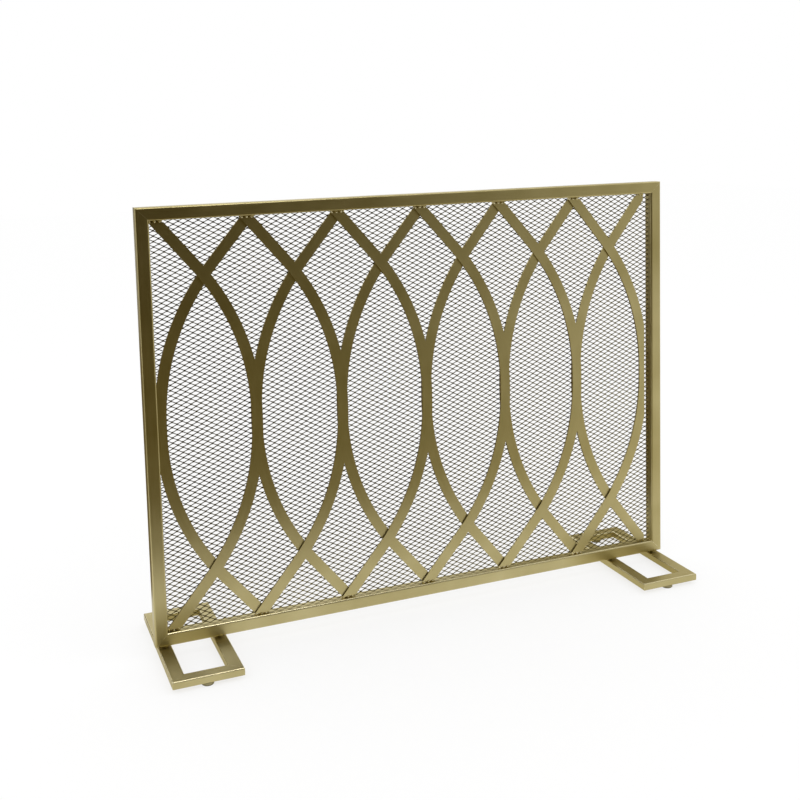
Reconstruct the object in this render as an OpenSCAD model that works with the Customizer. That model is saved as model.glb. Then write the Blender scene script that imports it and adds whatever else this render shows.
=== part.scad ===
// Free-standing fireplace screen: a mitred square-tube frame, two layers of
// interlaced flat-bar arcs, a diamond mesh behind them, and two loop feet on
// levelling glides. Millimetres, +Z up, the front of the screen faces -Y.
// The origin is on the floor at the middle of the footprint.

/* [Frame] */
// Overall width of the frame
frame_w = 1000; // [900:10:1200]
// Overall height of the frame, without the feet
frame_h = 737; // [600:1:850]
// Side of the square tube
tube = 22; // [20:1:30]
// Wall of the square tube
tube_wall = 1.5; // [1.2:0.1:2.5]
// Outer radius of the tube's long edges
tube_edge_r = 3; // [2.6:0.1:4]

/* [Arcs] */
// Width of the flat bar as seen from the front
bar_w = 19; // [12:1:24]
// Thickness of the flat bar, which is also the depth of one layer
bar_t = 3.2; // [2:0.1:4]
// How far the front layer sits behind the frame's front face
arc_setback = 6; // [2:0.5:8]
// Gap between the end arcs and the left stile
left_gap = 0.3; // [0.2:0.1:15]
// Gap between the end arcs and the right stile, where they were trimmed short
right_gap = 12.5; // [0.2:0.1:15]
// Length of straight bar left in the middle of an arc
straight_mid = 20; // [2:2:60]
// Length of straight bar left at each end of an arc by the bending rolls
straight_end = 100; // [20:5:150]
// Gap left between each bar end and its rail, filled by the weld
end_gap = 3.5; // [1:0.5:6]

/* [Mesh] */
// Long way of one diamond, left to right
diamond_l = 16.5; // [12:0.5:30]
// Short way of one diamond, up and down
diamond_s = 8.9; // [6:0.1:16]
// Width of a strand
strand_w = 1.1; // [0.8:0.1:2]
// Thickness of a strand
strand_t = 0.5; // [0.3:0.1:1]
// Width of the sheet's welded edge
edge_w = 1; // [0.5:0.5:3]

/* [Feet] */
// Width of one foot loop
foot_w = 116.5; // [90:0.5:180]
// Reach of the foot in front of the frame's front face
foot_front = 122.5; // [80:0.5:180]
// Reach of the foot behind the frame's front face
foot_back = 156; // [100:1:200]
// How far the foot stands in from the frame's outer side
foot_inset = 4.9; // [3:0.1:12]
// Width of a foot bar
foot_bar_w = 23; // [20:1:30]
// Height of a foot bar
foot_bar_h = 13; // [12:1:20]
// Radius of the foot bars' long edges
foot_edge_r = 2; // [0.5:0.1:4]

/* [Hardware] */
// Gap between the feet and the frame, filled by the spacer washers
spacer_t = 3; // [1:0.5:6]
// Outer diameter of a spacer washer
spacer_d = 14; // [12:1:20]
// Thread diameter of the foot bolts and of the glide studs
thread_d = 6; // [5:1:6]
// Outer diameter of a threaded insert in the bottom rail
insert_d = 9; // [8:0.5:10]
// Length of a threaded insert
insert_len = 13; // [8:1:15]
// Diameter of a glide
glide_d = 20; // [16:1:22]
// Height of a glide below the foot bar
glide_h = 6; // [5:0.5:10]
// Length of a glide's stud inside the foot bar
stud_len = 10; // [8:0.5:10]

/* [Hidden] */
$fn = 96;

finish_dark = [0.42, 0.36, 0.20];
finish_arc = [0.55, 0.48, 0.28];
steel = [0.62, 0.62, 0.60];

cells = 6;              // spaces between the columns of crossings
// How far each column stands to the right of its even place, as bent and welded:
// the arcs' ends at the rails, and their bulges halfway up
end_shift = [2, -3, 0, -1.5, -2, -1, -7.5];
mid_shift = [-4, 1.5, -1, 3.5, 5, 2, -4.5];
running = 0.05;         // radial clearance of a stud in its tapped hole
bolt_clear = 0.3;       // radial clearance of a bolt in a foot bar
glide_clear = 0.3;      // gap between a glide and the foot bar above it
mesh_clear = 0.1;       // gap around the mesh and behind the arcs
strand_clear = 0.02;    // gap between the two courses of strands
over = 1;               // how far a cutting solid runs past what it cuts
tuck = 0.002;           // how far a straight edge lies inside its bend, to cross it

// Levels, from the floor up
bar_z = glide_h;
bar_top = bar_z + foot_bar_h;
frame_z = bar_top + spacer_t;
frame_top = frame_z + frame_h;

// Depth: the footprint is centred on y = 0
front_y = (foot_front - foot_back) / 2;
back_y = front_y + tube;
mid_y = front_y + tube / 2;
foot_len = foot_front + foot_back;

// The clear opening inside the frame
half_w = frame_w / 2;
clear_w = frame_w - 2 * tube;
clear_h = frame_h - 2 * tube;
clear_z = frame_z + tube;
mid_z = frame_z + frame_h / 2;

// Arcs: each crosses its neighbours where its ends are cut, and bulges over
// one cell. Each half is a bend between two straights.
node_inset = tube + left_gap + bar_w / 2;
pitch = (frame_w - 2 * node_inset) / cells;
band_h = clear_h - 2 * end_gap;
half_rise = (band_h - straight_mid) / 2;
front_layer_y = front_y + arc_setback;
back_layer_y = front_layer_y + bar_t;
mesh_y = back_layer_y + bar_t + mesh_clear;

// Mesh: the strands follow the sides of the diamonds
strand_angle = atan2(diamond_s, diamond_l);
strand_step = diamond_l * sin(strand_angle);
sheet_w = clear_w - 2 * mesh_clear;
sheet_h = clear_h - 2 * mesh_clear;
strand_len = sheet_w + sheet_h;
strands = ceil(strand_len / 2 / strand_step);

// Feet and their fixings, measured from the middle of the screen
foot_x = half_w - foot_inset - foot_w / 2;
side_bar_x = foot_w / 2 - foot_bar_w / 2;
end_bar_y = foot_len / 2 - foot_bar_w / 2;
head_r = thread_d;
head_h = head_r - thread_d / 2 - bolt_clear;
bolt_len = foot_bar_h + spacer_t + insert_len;

function column_x(i) = node_inset - half_w + i * pitch;
function end_x(i) = column_x(i) + end_shift[i];
function mid_x(i) = column_x(i) + mid_shift[i];

// Radius of an arc's middle line, and how far it bends from halfway up to an end
function arc_r(bulge) = (pow(half_rise, 2) + pow(bulge, 2) - pow(straight_end, 2)) / (2 * bulge);
function bend(bulge) =
    atan2(half_rise, arc_r(bulge) - bulge) - atan2(straight_end, arc_r(bulge));

// ---- shared shapes ----

// A rectangle w by h with its four corners rounded to radius r
module rounded_section(w, h, r) {
    translate([r, 0]) square([w - 2 * r, h]);
    translate([0, r]) square([w, h - 2 * r]);
    for (x = [r, w - r])
        for (y = [r, h - r])
            translate([x, y]) circle(r = r);
}

// A bar along +X with both ends mitred at 45 degrees. Its long side is at y = 0.
module mitred_bar(length, side, thick, r, wall) {
    intersection() {
        rotate([90, 0, 90])
            linear_extrude(length)
                difference() {
                    rounded_section(side, thick, r);
                    if (wall > 0)
                        translate([wall, wall])
                            rounded_section(side - 2 * wall, thick - 2 * wall, r - wall);
                }
        linear_extrude(thick)
            polygon([[0, 0], [length, 0], [length - side, side], [side, side]]);
    }
}

// A frame tube along X, lying at z = 0 with its outer side down
module frame_tube(length) {
    translate([-length / 2, back_y, 0])
        rotate([90, 0, 0])
            mitred_bar(length, tube, tube, tube_edge_r, tube_wall);
}

// Places a copy at each of the four foot bolts
module at_bolts() {
    for (side = [-1, 1])
        for (bar = [-1, 1])
            translate([side * foot_x + bar * side_bar_x, mid_y, 0])
                children();
}

// ---- frame ----

module left_stile() {
    color(finish_dark)
        translate([-half_w, 0, mid_z])
            rotate([0, 90, 0])
                frame_tube(frame_h);
}

module right_stile() {
    color(finish_dark)
        translate([half_w, 0, mid_z])
            rotate([0, -90, 0])
                frame_tube(frame_h);
}

module top_rail() {
    color(finish_dark)
        translate([0, 0, frame_top])
            mirror([0, 0, 1])
                frame_tube(frame_w);
}

module bottom_rail() {
    color(finish_dark)
        difference() {
            translate([0, 0, frame_z]) frame_tube(frame_w);
            at_bolts()
                translate([0, 0, frame_z - over])
                    cylinder(d = insert_d, h = tube_wall + 2 * over);
        }
}

// ---- arcs ----

// Everything inside an edge that lies off an arc's middle line: straight in the
// middle, round the bend at both ends of that, and straight on
module inside_edge(bulge, off) {
    r = arc_r(bulge);
    translate([0, -straight_mid / 2])
        square([r + off - tuck, straight_mid]);
    for (end = [-1, 1])
        translate([0, end * straight_mid / 2]) {
            circle(r = r + off, $fn = 360);
            rotate(end * bend(bulge))
                translate([0, (end - 1) / 2 * r])
                    square([r + off - tuck, r]);
        }
}

// Outline of an arc with its ends at x = 0, bulging to +X
module arc_outline(bulge) {
    intersection() {
        translate([bulge - arc_r(bulge), 0])
            difference() {
                inside_edge(bulge, bar_w / 2);
                inside_edge(bulge, -bar_w / 2);
            }
        translate([-2 * bar_w, -clear_h / 2])
            square([bulge + 4 * bar_w, clear_h]);
    }
}

// An arc as thick as the bar, with its ends at the x of from and its middle at
// the x of to. The children are the stretch that is kept.
module arc_slice(from, to) {
    rotate([90, 0, 0])
        linear_extrude(bar_t)
            intersection() {
                translate([from, 0])
                    mirror([to > from ? 0 : 1, 0])
                        arc_outline(abs(to - from));
                children();
            }
}

// The inside of the frame over a height of h about z, between the lines where
// the end arcs are trimmed
module between_stiles(h, z = 0) {
    translate([left_gap - clear_w / 2, z - h / 2])
        square([clear_w - left_gap - right_gap, h]);
}

// Front layer: from column i - 1, bulging right to column i
module front_layer(i) {
    translate([0, back_layer_y, mid_z])
        arc_slice(end_x(i - 1), mid_x(i))
            children();
}

// Back layer: from column i, bulging left to column i - 1
module back_layer(i) {
    translate([0, back_layer_y + bar_t, mid_z])
        arc_slice(end_x(i), mid_x(i - 1))
            children();
}

module front_arc(i) {
    color(finish_arc)
        front_layer(i)
            between_stiles(band_h);
}

module back_arc(i) {
    color(finish_arc)
        back_layer(i)
            between_stiles(band_h);
}

// The welds fill the gaps between the bar ends and the rails
module arc_welds() {
    color(steel)
        for (i = [1 : cells])
            for (end = [-1, 1]) {
                front_layer(i)
                    between_stiles(end_gap, end * (clear_h - end_gap) / 2);
                back_layer(i)
                    between_stiles(end_gap, end * (clear_h - end_gap) / 2);
            }
}

// ---- mesh ----

// One course of parallel strands, leaning by the given angle, in a narrow edge
module strand_course(angle) {
    linear_extrude(strand_t) {
        difference() {
            square([sheet_w, sheet_h], center = true);
            square([sheet_w - 2 * edge_w, sheet_h - 2 * edge_w], center = true);
        }
        intersection() {
            square([sheet_w, sheet_h], center = true);
            rotate(angle)
                for (i = [-strands : strands])
                    translate([0, (i + 0.5) * strand_step])
                        square([strand_len, strand_w], center = true);
        }
    }
}

module mesh() {
    color(finish_dark)
        for (course = [0, 1])
            translate([0, mesh_y + strand_t + course * (strand_t + strand_clear), mid_z])
                rotate([90, 0, 0])
                    strand_course((1 - 2 * course) * strand_angle);
}

// ---- feet ----

// A foot bar along X with its outer side towards -Y
module foot_bar(length) {
    translate([-length / 2, 0, bar_z])
        mitred_bar(length, foot_bar_w, foot_bar_h, foot_edge_r, 0);
}

// Front or rear bar, tapped from below for the glide's stud
module end_bar(x, front) {
    color(finish_arc)
        difference() {
            translate([x, -front * foot_len / 2, 0])
                rotate(front > 0 ? 0 : 180)
                    foot_bar(foot_w);
            translate([x, -front * end_bar_y, bar_z - over])
                cylinder(r = thread_d / 2 + running, h = stud_len + 2 * over, $fn = 48);
        }
}

// Side bar, countersunk from below for the foot bolt
module side_bar(x, side) {
    color(finish_arc)
        difference() {
            translate([x + side * foot_w / 2, 0, 0])
                rotate(side * 90)
                    foot_bar(foot_len);
            translate([x + side * side_bar_x, mid_y, bar_z - over])
                cylinder(r = thread_d / 2 + bolt_clear, h = foot_bar_h + 2 * over, $fn = 48);
            translate([x + side * side_bar_x, mid_y, bar_z])
                cylinder(r1 = head_r, r2 = head_r - head_h, h = head_h, $fn = 48);
        }
}

// ---- hardware ----

module spacer_washers() {
    color(steel)
        at_bolts()
            translate([0, 0, bar_top])
                difference() {
                    cylinder(d = spacer_d, h = spacer_t, $fn = 48);
                    translate([0, 0, -over])
                        cylinder(r = thread_d / 2 + bolt_clear, h = spacer_t + 2 * over, $fn = 48);
                }
}

module foot_bolts() {
    color(steel)
        at_bolts()
            translate([0, 0, bar_z]) {
                cylinder(r1 = head_r, r2 = head_r - head_h, h = head_h, $fn = 48);
                cylinder(d = thread_d, h = bolt_len, $fn = 48);
            }
}

module threaded_inserts() {
    color(steel)
        at_bolts()
            translate([0, 0, frame_z])
                difference() {
                    cylinder(d = insert_d, h = insert_len, $fn = 48);
                    translate([0, 0, -over])
                        cylinder(d = thread_d, h = insert_len + 2 * over, $fn = 48);
                }
}

// A round glide with a chamfered rim and a stud that screws into the foot bar
module glide(x, y) {
    color(steel)
        translate([x, y, 0])
            rotate_extrude($fn = 64)
                polygon([
                    [0, 0],
                    [glide_d / 2 - 1, 0],
                    [glide_d / 2, 1],
                    [glide_d / 2, glide_h - glide_clear - 0.6],
                    [glide_d / 2 - 0.6, glide_h - glide_clear],
                    [thread_d / 2, glide_h - glide_clear],
                    [thread_d / 2, glide_h + stud_len],
                    [0, glide_h + stud_len]
                ]);
}

left_stile();
right_stile();
top_rail();
bottom_rail();
front_arc(1);  // front_arc_1
front_arc(2);  // front_arc_2
front_arc(3);  // front_arc_3
front_arc(4);  // front_arc_4
front_arc(5);  // front_arc_5
front_arc(6);  // front_arc_6
back_arc(1);  // back_arc_1
back_arc(2);  // back_arc_2
back_arc(3);  // back_arc_3
back_arc(4);  // back_arc_4
back_arc(5);  // back_arc_5
back_arc(6);  // back_arc_6
arc_welds();
mesh();
side_bar(-foot_x, -1);  // left_foot_outer_bar
side_bar(-foot_x, 1);  // left_foot_inner_bar
end_bar(-foot_x, 1);  // left_foot_front_bar
end_bar(-foot_x, -1);  // left_foot_rear_bar
side_bar(foot_x, 1);  // right_foot_outer_bar
side_bar(foot_x, -1);  // right_foot_inner_bar
end_bar(foot_x, 1);  // right_foot_front_bar
end_bar(foot_x, -1);  // right_foot_rear_bar
spacer_washers();
foot_bolts();
threaded_inserts();
glide(-foot_x, -end_bar_y);  // left_front_glide
glide(-foot_x, end_bar_y);  // left_rear_glide
glide(foot_x, -end_bar_y);  // right_front_glide
glide(foot_x, end_bar_y);  // right_rear_glide
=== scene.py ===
# %% [markdown]
# # A fireplace screen with interlaced ovals
# The real screen is a welded frame of square steel tube. Two layers of bent flat bar cross inside it
# and make a row of pointed ovals, a sheet of expanded metal behind them stops the sparks, and two
# rectangular loops are its feet. All but the glides and the zinc-plated fixings wears one satin
# antique-gold lacquer.
# The frame, the arcs and the feet come ready-made from the CAD model, because their plain shapes are
# already right. Blender adds what that model leaves out: the true expanded mesh, the lumpy welds, the
# ground mitre seams, the painted highlights on the rounded edges, the finishes, the studio and the
# camera.

import bpy
import math
import numpy as np
from mathutils import Matrix, Vector


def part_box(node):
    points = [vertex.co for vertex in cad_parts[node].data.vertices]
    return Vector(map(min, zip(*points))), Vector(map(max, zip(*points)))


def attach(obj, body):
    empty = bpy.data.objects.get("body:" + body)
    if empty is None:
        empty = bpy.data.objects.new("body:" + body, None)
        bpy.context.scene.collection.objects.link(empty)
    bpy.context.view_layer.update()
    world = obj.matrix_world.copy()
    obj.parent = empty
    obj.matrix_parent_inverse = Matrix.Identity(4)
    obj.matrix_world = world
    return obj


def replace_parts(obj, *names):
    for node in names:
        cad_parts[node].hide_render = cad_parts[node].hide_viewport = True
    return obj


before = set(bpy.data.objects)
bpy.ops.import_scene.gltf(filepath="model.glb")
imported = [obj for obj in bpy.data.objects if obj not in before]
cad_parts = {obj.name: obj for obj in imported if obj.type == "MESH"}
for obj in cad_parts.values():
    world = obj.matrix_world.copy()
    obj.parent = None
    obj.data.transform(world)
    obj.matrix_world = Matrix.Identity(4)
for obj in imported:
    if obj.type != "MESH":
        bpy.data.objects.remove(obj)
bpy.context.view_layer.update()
MM = 0.001

# %% [markdown]
# ## Two helpers
# Colours are written as the hex values that a screen shows, and Blender computes in linear light, so
# one function turns one into the other. Materials here are trees of nodes. Adding a node always takes
# the same three steps, which are making it, setting it and linking it, so one function does them.

# %% Colour and node helpers
def linear(hex_colour):
    """The four linear channels of an sRGB hex colour: each channel c becomes c / 12.92 in the darkest
    part and ((c + 0.055) / 1.055) to the power 2.4 elsewhere. Alpha is 1."""
    s = np.array([int(hex_colour[i : i + 2], 16) for i in (1, 3, 5)]) / 255
    lin = np.where(s <= 0.04045, s / 12.92, ((s + 0.055) / 1.055) ** 2.4)
    return (*lin.tolist(), 1.0)


def add(tree, kind, settings=None, links=None):
    """Adds one node. A setting is a property of the node, or the value of an input given by its name
    or number, and a link joins an output to an input. Returns the node."""
    made = tree.nodes.new(kind)
    for name, value in (settings or {}).items():
        if isinstance(name, str) and hasattr(made, name):
            setattr(made, name, value)
        else:
            made.inputs[name].default_value = value
    for name, source in (links or {}).items():
        tree.links.new(source, made.inputs[name])
    return made


def new_material(name, **sockets):
    """A material with one surface shader. The sockets are values that hold all over the surface."""
    mat = bpy.data.materials.new(name)
    mat.use_nodes = True
    tree = mat.node_tree
    tree.nodes.clear()
    values = {socket.replace("_", " "): value for socket, value in sockets.items()}
    shader = add(tree, "ShaderNodeBsdfPrincipled", values)
    add(tree, "ShaderNodeOutputMaterial", links={"Surface": shader.outputs["BSDF"]})
    return mat, tree, shader


# %% [markdown]
# ## The satin gold lacquer
# The steel is brushed along each bar and then sprayed with a translucent antique-gold lacquer. To the
# eye this is a soft metal: fine streaks that run with the bar, a slow change of tone from one hand's
# width to the next, and no sharp reflections. It is built as a metal, since the light goes through the
# lacquer and comes back from the steel. The streaks are noise stretched along the bar. Real brushing
# is about 0.1 mm wide, which is too fine to show, so it is drawn about 0.7 mm wide.

# %% The tone of the lacquer, from streaks and mottle
STREAK_WIDE = 0.7 * MM
STREAK_LONG = 70 * MM
MOTTLE = 90 * MM
STREAK_SHARE = 0.55


def satin_gold(name, grain, light="#c8bc8b", dark="#b2a572", rough=(0.32, 0.42), dents=0.02):
    """Brushed steel under gold lacquer. grain is the axis that the brushing follows, 0, 1 or 2 in
    Object coordinates, or the name of a UV map in metres whose U runs along the bar. Returns the
    material, its tree, its shader and the colour, so that a seam can be laid over it."""
    mat, tree, shader = new_material(name, Metallic=1.0)
    if isinstance(grain, str):
        place = add(tree, "ShaderNodeUVMap", {"uv_map": grain}).outputs["UV"]
        axis = 0
    else:
        place = add(tree, "ShaderNodeTexCoord").outputs["Object"]
        axis = grain
    scale = [1 / STREAK_WIDE] * 3
    scale[axis] = 1 / STREAK_LONG
    stretched = add(tree, "ShaderNodeMapping", {"Scale": scale}, {"Vector": place}).outputs["Vector"]
    streaks = add(tree, "ShaderNodeTexNoise", {"Scale": 1.0, "Detail": 4.0, "Roughness": 0.6},
                  {"Vector": stretched}).outputs["Fac"]
    mottle = add(tree, "ShaderNodeTexNoise", {"Scale": 1 / MOTTLE, "Detail": 2.0},
                 {"Vector": place}).outputs["Fac"]
    tone = add(tree, "ShaderNodeMath", {"operation": "MULTIPLY_ADD", 1: STREAK_SHARE},
               {0: streaks, 2: mottle}).outputs["Value"]
    share = add(tree, "ShaderNodeMapRange", {"From Min": 0.5, "From Max": 1.05},
                {"Value": tone}).outputs["Result"]
    colour = add(tree, "ShaderNodeMix", {"data_type": "RGBA", 6: linear(dark), 7: linear(light)},
                 {"Factor": share}).outputs[2]
    matt = add(tree, "ShaderNodeMapRange",
               {"From Min": 0.3, "From Max": 0.7, "To Min": rough[0], "To Max": rough[1]},
               {"Value": streaks}).outputs["Result"]
    bump = add(tree, "ShaderNodeBump", {"Strength": 0.25, "Distance": dents * MM},
               {"Height": streaks}).outputs["Normal"]
    tree.links.new(colour, shader.inputs["Base Color"])
    tree.links.new(matt, shader.inputs["Roughness"])
    tree.links.new(bump, shader.inputs["Normal"])
    return mat, tree, shader, colour


# %% [markdown]
# ## Ground mitre seams and rubbed edges
# Tubes and foot bars meet in 45 degree mitres. The welder runs a bead along each mitre and grinds it
# flush, which leaves a thin pale line under the lacquer. A modelled groove would be far too deep, so
# the seam is drawn in the material. On a mitre, the distance from the corner is the same along both
# bars, so the seam is where the two distances are equal. Noise fades it, as uneven grinding does.
# On the feet and the bottom rail, the rounded upper edges carry a painted highlight: their colour is
# paler and they are smoother, so each shows a thin line of light. The top rail and the stiles have none.

# %% A material with seams and painted edge highlights
SEAM_WIDE, SEAM_PATCH, SEAM_TONE = 1.2 * MM, 6 * MM, 0.85
# How far the painted highlight pales the rounded upper edges, and how smooth those edges are.
PAINTED_HIGHLIGHT_TONE, HIGHLIGHT_EDGE_ROUGH = 0.7, 0.27
FRAME_CENTRE, FRAME_HALF = (0, 0, 390.5 * MM), (500 * MM, 0, 368.5 * MM)
FOOT_CENTRE, FOOT_HALF = (436.85 * MM, 0, 0), (58.25 * MM, 139.25 * MM, 0)


def painted_highlight_edge(tree):
    """The mask of the painted highlight: 1 on a rounded edge that faces upwards and 0 elsewhere. A flat
    side's normal is an axis, so its largest part is 1."""
    normal = add(tree, "ShaderNodeTexCoord").outputs["Normal"]
    size = add(tree, "ShaderNodeVectorMath", {"operation": "ABSOLUTE"}, {0: normal}).outputs[0]
    part = add(tree, "ShaderNodeSeparateXYZ", links={0: size}).outputs
    larger = add(tree, "ShaderNodeMath", {"operation": "MAXIMUM"}, {0: part[0], 1: part[1]}).outputs[0]
    most = add(tree, "ShaderNodeMath", {"operation": "MAXIMUM"}, {0: larger, 1: part[2]}).outputs[0]
    rounded = add(tree, "ShaderNodeMapRange", {"From Min": 0.99, "From Max": 0.9},
                  {"Value": most}).outputs["Result"]
    height = add(tree, "ShaderNodeSeparateXYZ", links={0: normal}).outputs["Z"]
    upper = add(tree, "ShaderNodeMath", {"operation": "GREATER_THAN", 1: 0.1}, {0: height}).outputs[0]
    return add(tree, "ShaderNodeMath", {"operation": "MULTIPLY"}, {0: rounded, 1: upper}).outputs[0]


def seamed_gold(name, grain, centre, half, ends, painted_highlight=True, pale="#efe6c2"):
    """Satin gold with a pale ground seam on the mitres of a rectangle, and of its mirror image across
    X = 0. centre and half are the rectangle's middle and half size, and ends is the axis, Y or Z, that
    its sides run along. The seam is where half less |place - centre| is the same on X and that axis.
    Where the piece has the painted highlight, its rounded upper edges are painted paler, and are
    smoother too."""
    mat, tree, shader, colour = satin_gold(name, grain)
    place = add(tree, "ShaderNodeTexCoord").outputs["Object"]
    folded = add(tree, "ShaderNodeVectorMath", {"operation": "ABSOLUTE"}, {0: place}).outputs[0]
    offset = add(tree, "ShaderNodeVectorMath", {"operation": "SUBTRACT", 1: centre},
                 {0: folded}).outputs[0]
    away = add(tree, "ShaderNodeVectorMath", {"operation": "ABSOLUTE"}, {0: offset}).outputs[0]
    inward = add(tree, "ShaderNodeVectorMath", {"operation": "SUBTRACT", 0: half},
                 {1: away}).outputs[0]
    axes = add(tree, "ShaderNodeSeparateXYZ", links={0: inward}).outputs
    uneven = add(tree, "ShaderNodeMath", {"operation": "SUBTRACT"},
                 {0: axes["X"], 1: axes[ends]}).outputs[0]
    off = add(tree, "ShaderNodeMath", {"operation": "ABSOLUTE"}, {0: uneven}).outputs[0]
    line = add(tree, "ShaderNodeMapRange", {"From Min": SEAM_WIDE / 2, "From Max": SEAM_WIDE / 6},
               {"Value": off}).outputs["Result"]
    patchy = add(tree, "ShaderNodeTexNoise", {"Scale": 1 / SEAM_PATCH, "Detail": 1.0},
                 {"Vector": place}).outputs["Fac"]
    shown = add(tree, "ShaderNodeMapRange", {"From Min": 0.4, "From Max": 0.6, "To Max": SEAM_TONE},
                {"Value": patchy}).outputs["Result"]
    share = add(tree, "ShaderNodeMath", {"operation": "MULTIPLY"}, {0: line, 1: shown}).outputs[0]
    # Painted highlight: rounded upper edges take the pale colour and a lower roughness.
    if painted_highlight:
        edge = painted_highlight_edge(tree)
        paler = add(tree, "ShaderNodeMath", {"operation": "MULTIPLY", 1: PAINTED_HIGHLIGHT_TONE},
                    {0: edge}).outputs[0]
        share = add(tree, "ShaderNodeMath", {"operation": "MAXIMUM"}, {0: share, 1: paler}).outputs[0]
        matt = shader.inputs["Roughness"].links[0].from_socket
        smoother = add(tree, "ShaderNodeMix", {"data_type": "FLOAT", 3: HIGHLIGHT_EDGE_ROUGH},
                       {"Factor": edge, 2: matt}).outputs[0]
        tree.links.new(smoother, shader.inputs["Roughness"])
    colour = add(tree, "ShaderNodeMix", {"data_type": "RGBA", 7: linear(pale)},
                 {"Factor": share, 6: colour}).outputs[2]
    tree.links.new(colour, shader.inputs["Base Color"])
    return mat


FRAME, FOOT = (FRAME_CENTRE, FRAME_HALF, "Z"), (FOOT_CENTRE, FOOT_HALF, "Y")
rail_gold = seamed_gold("Satin_gold_lacquer_on_tube_brushed_along_x", 0, *FRAME, painted_highlight=False)
# The bottom rail and the feet get the painted highlight on their rounded upper edges; the top rail and
# the stiles don't.
low_rail_gold = seamed_gold("Satin_gold_lacquer_on_tube_with_painted_edge_highlights", 0, *FRAME)
stile_gold = seamed_gold("Satin_gold_lacquer_on_tube_brushed_along_z", 2, *FRAME, painted_highlight=False)
side_gold = seamed_gold("Satin_gold_lacquer_on_foot_bar_brushed_along_y", 1, *FOOT)
end_gold = seamed_gold("Satin_gold_lacquer_on_foot_bar_brushed_along_x", 0, *FOOT)
seamed = (rail_gold, low_rail_gold, stile_gold, side_gold, end_gold)
print("seamed finishes", [mat.name for mat in seamed])


# %% Dress the frame and the feet
def dress(node, mat):
    """Gives a CAD node one material."""
    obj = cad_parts[node]
    obj.data.materials.clear()
    obj.data.materials.append(mat)
    return obj


dress("top_rail", rail_gold)
dress("bottom_rail", low_rail_gold)
for stile in ("left_stile", "right_stile"):
    dress(stile, stile_gold)
for side in ("left", "right"):
    for bar in ("outer", "inner"):
        dress(f"{side}_foot_{bar}_bar", side_gold)
    for bar in ("front", "rear"):
        dress(f"{side}_foot_{bar}_bar", end_gold)
dressed = [name for name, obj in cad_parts.items() if obj.active_material in seamed]
print(len(dressed), "tubes and foot bars wear a seamed finish")

# %% [markdown]
# ## Brushing that follows the bend
# The arcs were brushed as straight bars and bent afterwards, so their streaks follow the curve. A
# pattern in plain coordinates can't do that. A UV map can: U is the distance along the bar's middle
# line and V is the distance from it.

# %% A UV map along each arc
HALF_BAR = 9.5 * MM
HALF_FLAT, HALF_RISE, STRAIGHT = 10 * MM, 333 * MM, 100 * MM
LEAN = math.radians(40)


def points_of(obj):
    """A mesh's points as one array with a row for each."""
    co = np.empty(len(obj.data.vertices) * 3)
    obj.data.vertices.foreach_get("co", co)
    return co.reshape(-1, 3)


def along_bar_uv(obj, side):
    """The bar's middle line is flat halfway up, then turns round a bend, then runs on straight. U is
    the distance along it: the flat, plus radius times angle on the bend, plus the distance along the
    tangent. V is the distance outwards from it, plus depth so that the bar's edges aren't smeared.
    side is 1 for an arc that bulges to +X and -1 for the other way. Returns the bend's radius."""
    co = points_of(obj)
    out_x = side * co[:, 0]
    z = co[:, 2] - (co[:, 2].min() + co[:, 2].max()) / 2
    end_x = out_x[abs(z) > abs(z).max() - 0.01 * MM].max() - HALF_BAR / math.cos(LEAN)
    bulge = out_x[abs(z) < 1.05 * HALF_FLAT].min() + HALF_BAR - end_x
    radius = (HALF_RISE**2 + bulge**2 - STRAIGHT**2) / (2 * bulge)
    bend = math.atan2(HALF_RISE, radius - bulge) - math.atan2(STRAIGHT, radius)
    x = out_x - end_x + radius - bulge
    flat = np.clip(z, -HALF_FLAT, HALF_FLAT)
    angle = np.clip(np.arctan2(z - flat, x), -bend, bend)
    out = x * np.cos(angle) + (z - flat) * np.sin(angle) - radius
    along = flat + radius * angle + (z - flat) * np.cos(angle) - x * np.sin(angle)
    corner = np.empty(len(obj.data.loops), int)
    obj.data.loops.foreach_get("vertex_index", corner)
    uv = np.stack([along, out + co[:, 1]], 1)[corner]
    obj.data.uv_layers.new(name="along_bar").data.foreach_set("uv", uv.astype(np.float32).ravel())
    return radius


arc_gold = satin_gold("Satin_gold_lacquer_on_brushed_flat_bar", "along_bar")[0]
bar_ends = []
for i in range(1, 7):
    for layer, side in (("front", 1), ("back", -1)):
        arc = dress(f"{layer}_arc_{i}", arc_gold)
        co = points_of(arc)
        for end_z, up in ((co[:, 2].min(), -1), (co[:, 2].max(), 1)):
            at_end = co[abs(co[:, 2] - end_z) < 0.01 * MM]
            bar_ends.append((at_end.min(0), at_end.max(0), side, up))
        print(arc.name, "is bent to a radius of", round(along_bar_uv(arc, side) / MM), "mm")

# %% [markdown]
# ## The welds at the arc ends
# Each bar end stops a few millimetres short of the rail, and weld fills the gap. A quick MIG weld isn't
# a smooth block: it is a thin root, set back in the gap, with two or three lumps. Lacquer pools on the
# weld and makes it smooth, and the bead's colour is painted paler than the bars', a painted highlight
# that makes the lumps shine. One tube along the bar's end makes the root, and where a lump sits the tube
# swells and comes forward.

# %% The weld beads
GAP = 3.5 * MM
BEAD_STEPS, BEAD_SIDES = 33, 12
LUMPS, LUMP_OUT, LUMP_TALL, ROOT_BACK = 3, 2.2 * MM, 0.7 * MM, 1.0 * MM
PHASE_STEP = 2.4


def new_piece(name, points, faces, mat, body="screen"):
    """Makes an object of the given points and faces, which rides on a CAD body."""
    data = bpy.data.meshes.new(name)
    data.from_pydata(points.reshape(-1, 3).tolist(), [], faces.tolist())
    data.materials.append(mat)
    obj = bpy.data.objects.new(name, data)
    bpy.context.scene.collection.objects.link(obj)
    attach(obj, body)
    print(name, len(data.vertices), "points,", len(data.polygons), "faces")
    return obj


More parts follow.
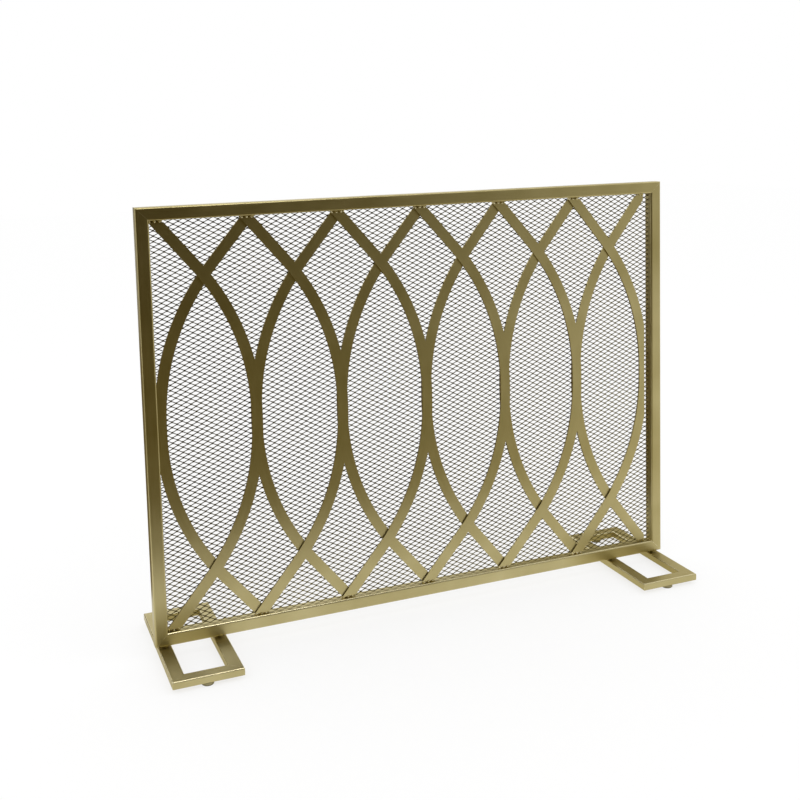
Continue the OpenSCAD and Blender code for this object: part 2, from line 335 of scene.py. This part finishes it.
def tube_faces(tubes, steps, sides):
    """The quads of so many separate tubes, each with so many rings and sides."""
    t, s, c = np.meshgrid(np.arange(tubes), np.arange(steps - 1), np.arange(sides), indexing="ij")
    ring = (t * steps + s) * sides
    turn = (c + 1) % sides
    return np.stack([ring + c, ring + turn, ring + sides + turn, ring + sides + c], -1).reshape(-1, 4)


def weld_grid(ends):
    """For each bar end, u runs along the end and v round the bead. Half the height is a blunt dome,
    the eighth root of 1 - (2u - 1)^8, times half the gap, and LUMP_TALL more on a lump. Half the depth
    is the same dome times half the bar's thickness, a quarter of that between the lumps. A lump is a
    squared sine with a whole number of waves, shifted a little from one bar end to the next. The middle
    line runs from ROOT_BACK behind the bar's middle to LUMP_OUT in front of it."""
    u = np.linspace(0, 1, BEAD_STEPS)[None, :, None]
    v = np.linspace(0, 2 * np.pi, BEAD_SIDES, endpoint=False)[None, None, :]
    low = np.array([e[0] for e in ends])[:, None, None]
    high = np.array([e[1] for e in ends])[:, None, None]
    side = np.array([e[2] for e in ends])[:, None, None]
    up = np.array([e[3] for e in ends])[:, None, None]
    phase = np.arange(len(ends))[:, None, None] * PHASE_STEP
    dome = np.clip(1 - (2 * u - 1) ** 8, 0.0, 1) ** 0.125
    lump = np.sin(np.pi * LUMPS * u + 0.5 * np.sin(phase)) ** 2
    depth = dome * (high[..., 1] - low[..., 1]) / 2 * (0.25 + 0.75 * lump)
    height = dome * (GAP / 2 + LUMP_TALL * lump)
    lean = -side * GAP / 2 * math.tan(LEAN)
    x = low[..., 0] + u * (high[..., 0] - low[..., 0]) + lean + 0 * v
    middle = (low[..., 1] + high[..., 1]) / 2 + ROOT_BACK - (ROOT_BACK + LUMP_OUT) * lump
    y = middle + depth * np.cos(v)
    z = (low[..., 2] + high[..., 2]) / 2 + up * GAP / 2 + height * np.sin(v)
    return np.stack(np.broadcast_arrays(x, y, z), -1)


# The weld's colours are paler than the bars' gold: a painted highlight on the lumps.
weld_gold = satin_gold(
    "Gold_lacquer_over_MIG_weld_painted_pale_for_highlight", 0, light="#f2e9c8", dark="#c8bc8b", rough=(0.08, 0.14), dents=0.1
)[0]
welds = weld_grid(bar_ends)
weld_beads = new_piece(
    "weld_beads", welds, tube_faces(len(bar_ends), BEAD_STEPS, BEAD_SIDES), weld_gold
)
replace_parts(weld_beads, "arc_welds")

# %% [markdown]
# ## The expanded metal
# Expanded metal starts as a plain sheet. A press cuts rows of short slits and pulls the sheet open, and
# every slit becomes a six-sided opening. Between two rows of openings runs one zigzag strand. Where
# the sheet wasn't slit, two strands stay joined in a short bond. The mesh could be a pattern on a flat
# plane, but from the side a plane looks like paper. So each zigzag is a real strand: a small tilted
# rectangle carried along a zigzag path, all of them computed as one grid.

# %% The zigzag strands
LONG, SHORT = 16.5 * MM, 8.9 * MM
BOND = 2.6 * MM
STRAND_W, STRAND_T = 1.6 * MM, 0.5 * MM
TILT = math.radians(8)
mesh_low, mesh_high = (np.array(corner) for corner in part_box("mesh"))
mesh_mid = (mesh_low + mesh_high) / 2
half_w, half_h = (mesh_high - mesh_low)[[0, 2]] / 2


def strand_grid(first):
    """Every second strand, from row first. Row k runs between the heights k S/2 and (k + 1) S/2, less
    half its own width, and turns round a flat bond at every x = m L/2. The section's four corners are
    the same all the way. What would stick out of the sheet is cut off level."""
    columns = int(half_w / (LONG / 2))
    rows = int(np.ceil(half_h / (SHORT / 2)))
    m = np.arange(-columns, columns + 1)
    k = np.arange(first - rows, rows, 2)[:, None]
    x = (m[:, None] * LONG / 2 + np.array([-BOND, BOND]) / 2).ravel()
    x = np.concatenate([[-half_w], x, [half_w]])
    up = (np.repeat(m, 2) + k) % 2 == 0
    z = np.where(up, (k + 1) * SHORT / 2 - STRAND_W / 2, k * SHORT / 2 + STRAND_W / 2)
    slope = (SHORT / 2 - STRAND_W) / (LONG / 2 - BOND)
    past = (half_w - x[-2]) * slope * np.where(up[:, -1:], -1, 1)
    z = np.concatenate([z[:, :1] + past, z, z[:, -1:] + past], 1)
    a = np.array([1, 1, -1, -1]) * STRAND_W / 2
    b = np.array([1, -1, -1, 1]) * STRAND_T / 2
    dz = a * np.cos(TILT) - b * np.sin(TILT)
    dy = a * np.sin(TILT) + b * np.cos(TILT)
    return np.stack(
        np.broadcast_arrays(
            x[None, :, None] + mesh_mid[0],
            dy + mesh_mid[1],
            np.clip(z[..., None] + dz, -half_h, half_h) + mesh_mid[2],
        ),
        -1,
    )


def cap_faces(tubes, steps, sides):
    """A flat cap at both ends of each tube."""
    start = np.arange(tubes)[:, None] * steps * sides
    ring = np.arange(sides)
    return np.concatenate([start + ring[::-1], start + (steps - 1) * sides + ring])


mesh_gold = satin_gold(
    "Satin_gold_lacquer_on_expanded_steel", 0, light="#8a7f52", dark="#695e36", rough=(0.4, 0.48)
)[0]
for first, name in ((0, "mesh_strands_even"), (1, "mesh_strands_odd")):
    grid = strand_grid(first)
    count, steps, sides, _ = grid.shape
    faces = np.concatenate([tube_faces(count, steps, sides), cap_faces(count, steps, sides)])
    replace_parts(new_piece(name, grid, faces, mesh_gold), "mesh")

# %% [markdown]
# ## Glides, bolts, inserts and washers
# The glides are moulded nylon pads on zinc-plated studs. Nylon has a soft sheen, and these are coloured
# olive to go with the lacquer, and darker towards the bottom. The bolts, inserts and washers are
# zinc-plated steel, a cool grey metal with a faint cloudy look from the plating bath.

# %% The glides and the fixings
DARK_BOTTOM_HEIGHT = 1.4 * MM


def moulded_nylon(name, olive="#8d845c", dark_bottom="#2a2416"):
    """Olive nylon that turns dark below the height DARK_BOTTOM_HEIGHT, with a fine moulded grain."""
    mat, tree, shader = new_material(name, Roughness=0.5)
    place = add(tree, "ShaderNodeTexCoord").outputs["Object"]
    height = add(tree, "ShaderNodeSeparateXYZ", links={"Vector": place}).outputs["Z"]
    # The colour turns dark near the bottom of the glide.
    share = add(tree, "ShaderNodeMapRange", {"From Min": 0.7 * DARK_BOTTOM_HEIGHT, "From Max": 1.3 * DARK_BOTTOM_HEIGHT},
                {"Value": height}).outputs["Result"]
    grain = add(tree, "ShaderNodeTexNoise", {"Scale": 1 / (0.8 * MM), "Detail": 2.0},
                {"Vector": place}).outputs["Fac"]
    colour = add(tree, "ShaderNodeMix", {"data_type": "RGBA", 6: linear(dark_bottom), 7: linear(olive)},
                 {"Factor": share}).outputs[2]
    bump = add(tree, "ShaderNodeBump", {"Strength": 0.3, "Distance": 0.05 * MM},
               {"Height": grain}).outputs["Normal"]
    tree.links.new(colour, shader.inputs["Base Color"])
    tree.links.new(bump, shader.inputs["Normal"])
    return mat


def zinc_plate(name, light="#b9b8b2", dark="#8f8e88"):
    """Zinc-plated steel: a grey metal whose tone clouds over about 4 mm."""
    mat, tree, shader = new_material(name, Metallic=1.0)
    place = add(tree, "ShaderNodeTexCoord").outputs["Object"]
    cloud = add(tree, "ShaderNodeTexNoise", {"Scale": 1 / (4 * MM), "Detail": 3.0},
                {"Vector": place}).outputs["Fac"]
    colour = add(tree, "ShaderNodeMix", {"data_type": "RGBA", 6: linear(dark), 7: linear(light)},
                 {"Factor": cloud}).outputs[2]
    matt = add(tree, "ShaderNodeMapRange", {"To Min": 0.3, "To Max": 0.5},
               {"Value": cloud}).outputs["Result"]
    tree.links.new(colour, shader.inputs["Base Color"])
    tree.links.new(matt, shader.inputs["Roughness"])
    return mat


nylon = moulded_nylon("Olive_moulded_nylon_darker_at_the_bottom")
zinc = zinc_plate("Zinc_plated_steel")
for end in ("left_front", "left_rear", "right_front", "right_rear"):
    dress(f"{end}_glide", nylon)
for fixing in ("foot_bolts", "threaded_inserts"):
    dress(fixing, zinc)
washer = dress("spacer_washers", satin_gold("Gold_lacquer_on_turned_washers", 2)[0])
print("fixings in", zinc.name, "glides in", nylon.name, "washers in", washer.data.materials[0].name)

# %% [markdown]
# ## The white studio
# The screen stands on white paper in front of a white wall. The world gives an even white light, and a
# large overhead softbox adds a soft top light. To the camera and in reflections the paper glows a
# little, so it reads as pure white, and the rest of it keeps the faint shadow of the feet.

# %% World, paper and lamp
scene = bpy.context.scene
scene.view_settings.view_transform = "Standard"
PAPER_GLOW = 0.75
LAMP_SIZE, LAMP_WATTS = 3.0, 12
LAMP_AT, LAMP_AIM = Vector((0.8, -0.6, 3.2)), Vector((0, 0, 0.3))

scene.world = bpy.data.worlds.new("White_studio")
scene.world.use_nodes = True
scene.world.node_tree.nodes["Background"].inputs["Color"].default_value = (1, 1, 1, 1)
scene.world.node_tree.nodes["Background"].inputs["Strength"].default_value = 1.0


def stage_plane(name, corners, mat):
    """A four-cornered plane that is part of the studio, not of the screen."""
    data = bpy.data.meshes.new(name)
    data.from_pydata(corners, [], [(0, 1, 2, 3)])
    data.materials.append(mat)
    obj = bpy.data.objects.new(name, data)
    scene.collection.objects.link(obj)
    return obj


paper, tree, shader = new_material(
    "White_seamless_paper", Base_Color=linear("#fdfdfd"), Roughness=0.9, Specular_IOR_Level=0.0
)
glow = add(tree, "ShaderNodeEmission", {"Color": (1, 1, 1, 1), "Strength": 1.0})
rays = add(tree, "ShaderNodeLightPath").outputs
mirrored = add(tree, "ShaderNodeMath", {"operation": "MAXIMUM"},
               {0: rays["Is Glossy Ray"], 1: rays["Is Transmission Ray"]}).outputs[0]
seen = add(tree, "ShaderNodeMath", {"operation": "MAXIMUM"},
           {0: rays["Is Camera Ray"], 1: mirrored}).outputs[0]
shown = add(tree, "ShaderNodeMath", {"operation": "MULTIPLY", 1: PAPER_GLOW}, {0: seen}).outputs[0]
mixed = add(tree, "ShaderNodeMixShader", links={0: shown, 1: shader.outputs[0], 2: glow.outputs[0]})
tree.links.new(mixed.outputs[0], tree.nodes["Material Output"].inputs["Surface"])
stage_plane("floor", [(-8, -8, 0), (8, -8, 0), (8, 10, 0), (-8, 10, 0)], paper)

lamp_data = bpy.data.lights.new("overhead_softbox", "AREA")
lamp_data.shape = "RECTANGLE"
lamp_data.size = lamp_data.size_y = LAMP_SIZE
lamp_data.energy = LAMP_WATTS
lamp = bpy.data.objects.new("overhead_softbox", lamp_data)
scene.collection.objects.link(lamp)
lamp.location = LAMP_AT
lamp.rotation_euler = (LAMP_AIM - LAMP_AT).to_track_quat("-Z", "Y").to_euler()
lamp.visible_glossy = False
print(lamp.name, LAMP_SIZE, "m wide,", LAMP_WATTS, "W, paper glow", PAPER_GLOW)

# %% [markdown]
# ## What the satin gold reflects
# A metal's tone is the tone of the room around it. Here that is a brown room that gets lighter from
# left to right, which is why the left side looks bronze and the right side pale gold. Graduated cards
# stand for the room: a wall in front, the floor before it in a far and a near part, and the floor and
# walls behind, which the sides of the tubes show. A small card under each foot is what the foot's own
# sides reflect. A bright strip high on the left draws the line of light along the rounded front edges.
# Only reflections see the cards, so they don't tint the light.

# %% Cards that only reflections see
def card_material(name, stops, strength=1.0):
    """A card that glows in the colours that go along X through the stops of (metres, hex colour)."""
    mat = bpy.data.materials.new(name)
    mat.use_nodes = True
    tree = mat.node_tree
    tree.nodes.clear()
    place = add(tree, "ShaderNodeTexCoord").outputs["Object"]
    x = add(tree, "ShaderNodeSeparateXYZ", links={"Vector": place}).outputs["X"]
    first, last = stops[0][0], stops[-1][0]
    share = add(tree, "ShaderNodeMapRange", {"From Min": first, "From Max": last},
                {"Value": x}).outputs["Result"]
    ramp = add(tree, "ShaderNodeValToRGB", links={"Fac": share})
    ramp.color_ramp.interpolation = "EASE"
    elements = ramp.color_ramp.elements
    while len(elements) < len(stops):
        elements.new(0.5)
    for element, (at, colour) in zip(elements, stops):
        element.position = (at - first) / (last - first)
        element.color = linear(colour)
    card_glow = add(tree, "ShaderNodeEmission", {"Strength": strength}, {"Color": ramp.outputs["Color"]})
    add(tree, "ShaderNodeOutputMaterial", links={"Surface": card_glow.outputs["Emission"]})
    return mat


def reflected_card(name, corners, stops, strength=1.0):
    """A card of the given corners that the camera, the light and the shadows pass through."""
    card = stage_plane(name, corners, card_material(name + "_glow", stops, strength))
    card.visible_camera = card.visible_diffuse = card.visible_shadow = False
    card.visible_transmission = card.visible_volume_scatter = False
    print(name, "has", len(stops), "stops")


def upright(x0, x1, y, z0, z1):
    """The corners of a card that faces along Y."""
    return [(x0, y, z0), (x1, y, z0), (x1, y, z1), (x0, y, z1)]


def level(x0, x1, y0, y1, z):
    """The corners of a card that lies flat."""
    return [(x0, y0, z), (x1, y0, z), (x1, y1, z), (x0, y1, z)]


WALL_Y, FAR_Y, NEAR_Y = -2.4, -0.95, -0.4
CARD_Z = 2 * MM
reflected_card(
    "wall_card",
    upright(-8, 8, WALL_Y, 0, 6),
    [(-8.0, "#2c2106"), (-0.1, "#31270a"), (0.2, "#433916"), (0.5, "#524829"), (0.9, "#574e34"),
     (1.35, "#7a745f"), (2.0, "#d2cfc0"), (8.0, "#e8e6da")],
)
reflected_card(
    "far_floor_card",
    level(-4, 4, WALL_Y, FAR_Y, CARD_Z),
    [(-4.0, "#74673a"), (-0.3, "#74673a"), (0.2, "#7a6f42"), (0.6, "#7b7147"), (0.88, "#958b65"),
     (1.15, "#ebe8dc"), (1.4, "#fcfbf8"), (4.0, "#ffffff")],
)
reflected_card(
    "near_floor_card",
    level(-4, 4, FAR_Y, NEAR_Y, CARD_Z),
    [(-4.0, "#6e6136"), (-0.5, "#6e6136"), (0.2, "#8a7f52"), (0.6, "#c0b894"), (0.85, "#f2efe2"),
     (1.3, "#ffffff"), (4.0, "#ffffff")],
)
reflected_card(
    "rear_floor_card",
    level(-3, 2, 0.25, 3, CARD_Z),
    [(-3.0, "#6b5a2c"), (-0.2, "#6b5a2c"), (0.6, "#8a7c50"), (2.0, "#8a7c50")],
)
reflected_card(
    "rear_wall_card",
    upright(0.7, 3, 1.2, 0.15, 1.1),
    [(0.7, "#a49b78"), (1.15, "#a49b78"), (1.45, "#d6d0b8"), (3.0, "#d6d0b8")],
)
reflected_card(
    "rear_left_card",
    upright(-4, -1.15, 3.0, 0, 1.0),
    [(-4.0, "#5c4d22"), (-1.15, "#5c4d22")],
)
FOOT_CARD_LEFT, FOOT_CARD_RIGHT, FOOT_CARD_HALF = 0.11, 0.058, 0.139
for side, foot_x in (("left", -FOOT_CENTRE[0]), ("right", FOOT_CENTRE[0])):
    x0, x1 = foot_x - FOOT_CARD_LEFT, foot_x + FOOT_CARD_RIGHT
    reflected_card(
        f"{side}_foot_card",
        level(x0, x1, -FOOT_CARD_HALF, FOOT_CARD_HALF, CARD_Z),
        [(x0, "#e4e0cd"), (x1, "#c9c1a2")],
    )
reflected_card(
    "edge_light",
    level(-0.5, 0.55, -1.9, -0.95, 2.6),
    [(-0.5, "#ffffff"), (0.2, "#ffffff"), (0.55, "#000000")],
    strength=6.0,
)

# %% [markdown]
# ## The camera
# The camera stands to the left of the screen, above its top edge, and looks a little down.

# %% Camera
CAMERA_AT = (-0.771885, -1.86734, 0.892925)
camera_data = bpy.data.cameras.new("camera")
camera_data.sensor_width = 36
camera_data.lens = 51.13
camera_data.shift_x = -0.0237
camera_data.shift_y = -0.2076
camera = bpy.data.objects.new("camera", camera_data)
scene.collection.objects.link(camera)
yaw, pitch, roll = 0.391383, 0.10212, -0.022961
ahead = Vector((math.sin(yaw) * math.cos(pitch), math.cos(yaw) * math.cos(pitch), -math.sin(pitch)))
right = Vector((math.cos(yaw), -math.sin(yaw), 0))
above = right.cross(ahead)
right_rolled = right * math.cos(roll) + above * math.sin(roll)
above_rolled = above * math.cos(roll) - right * math.sin(roll)
turned = Matrix((right_rolled, above_rolled, -ahead)).transposed().to_4x4()
camera.matrix_world = Matrix.Translation(CAMERA_AT) @ turned
scene.camera = camera
print("camera", camera_data.lens, "mm lens at", CAMERA_AT)
